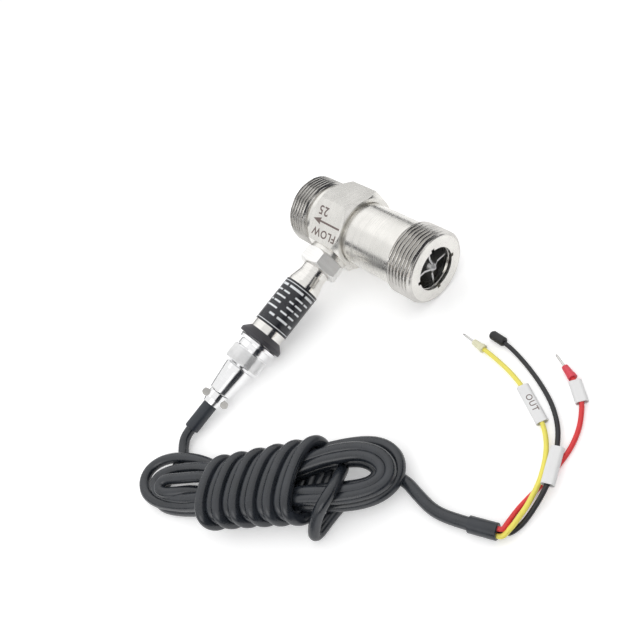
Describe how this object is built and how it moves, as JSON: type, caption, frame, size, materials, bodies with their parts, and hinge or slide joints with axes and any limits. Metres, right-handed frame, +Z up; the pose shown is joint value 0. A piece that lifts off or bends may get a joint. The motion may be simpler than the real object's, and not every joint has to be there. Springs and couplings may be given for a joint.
{
  "type": "turbine flow meter",
  "caption": "In-line turbine flow meter with threaded ends, a hexagonal block, a screwed-in pulse pickup with a plugged connector, and its cable wound in a hank with marked wires.",
  "frame": {"origin": "middle of the rigid meter's bounding box, on the surface it lies on", "axes": "+X over the flow axis towards the inlet (the flow axis dips 3.8 degrees at the inlet), -Y along the pickup from the body to its plug, +Z up from the surface"},
  "size_m": [0.2136, 0.2221, 0.0504],
  "materials": {
    "body_steel": "turned and milled stainless steel",
    "vane_steel": "machined stainless steel",
    "spring_steel": "drawn spring wire",
    "bush_carbide": "ground hard metal",
    "rotor_steel": "milled magnetic stainless steel",
    "nut_steel": "turned steel",
    "case_steel": "turned stainless steel",
    "magnet": "ground magnet alloy",
    "winding": "enamelled copper wire on a bobbin",
    "board_green": "circuit board",
    "label_black": "shrunk printed film",
    "gasket_black": "moulded",
    "connector_nickel": "nickel plated",
    "insulator": "moulded",
    "screw_steel": "plated",
    "shrink_black": "shrunk tube",
    "cable_black": "extruded jacket",
    "jacket_black": "shrunk tube",
    "wire_yellow": "extruded insulation",
    "wire_black": "extruded insulation",
    "wire_red": "extruded insulation",
    "marker_white": "printed sleeve",
    "collar_pale": "moulded",
    "collar_red": "moulded",
    "ferrule_tin": "tinned",
    "boot_black": "shrunk cap"
  },
  "bodies": {
    "meter": {"meter_body": "body_steel", "inlet_straightener": "vane_steel", "outlet_straightener": "vane_steel", "inlet_snap_ring": "spring_steel", "outlet_snap_ring": "spring_steel", "inlet_bush": "bush_carbide", "outlet_bush": "bush_carbide", "lock_nut": "nut_steel", "pickup_case": "case_steel", "pickup_magnet": "magnet", "pickup_coil": "winding", "amplifier_board": "board_green", "label_sleeve": "label_black", "flange_gasket": "gasket_black", "connector_socket": "connector_nickel", "socket_insert": "insulator", "coupling_ring": "connector_nickel", "plug_shell": "connector_nickel", "plug_insert": "insulator", "clamp_front": "connector_nickel", "clamp_back": "connector_nickel", "clamp_screws": "screw_steel", "cable_sleeve": "shrink_black", "cable_lead": "cable_black", "cable_hank": "cable_black", "cable_tail": "cable_black", "jacket_sleeve": "jacket_black", "yellow_wire": "wire_yellow", "yellow_marker": "marker_white", "yellow_collar": "collar_pale", "yellow_pin": "ferrule_tin", "black_wire": "wire_black", "black_marker": "marker_white", "black_boot": "boot_black", "red_wire": "wire_red", "red_marker": "marker_white", "red_collar": "collar_red", "red_pin": "ferrule_tin"},
    "rotor": {"rotor": "rotor_steel", "rotor_shaft": "bush_carbide"}
  },
  "joints": [
    {"name": "rotor_spin", "type": "hinge", "parent": "meter", "child": "rotor", "pos_m": [-0.01646, 0.06338, 0.02517], "axis": [0.9978, 0, -0.0656], "continuous": true}
  ]
}
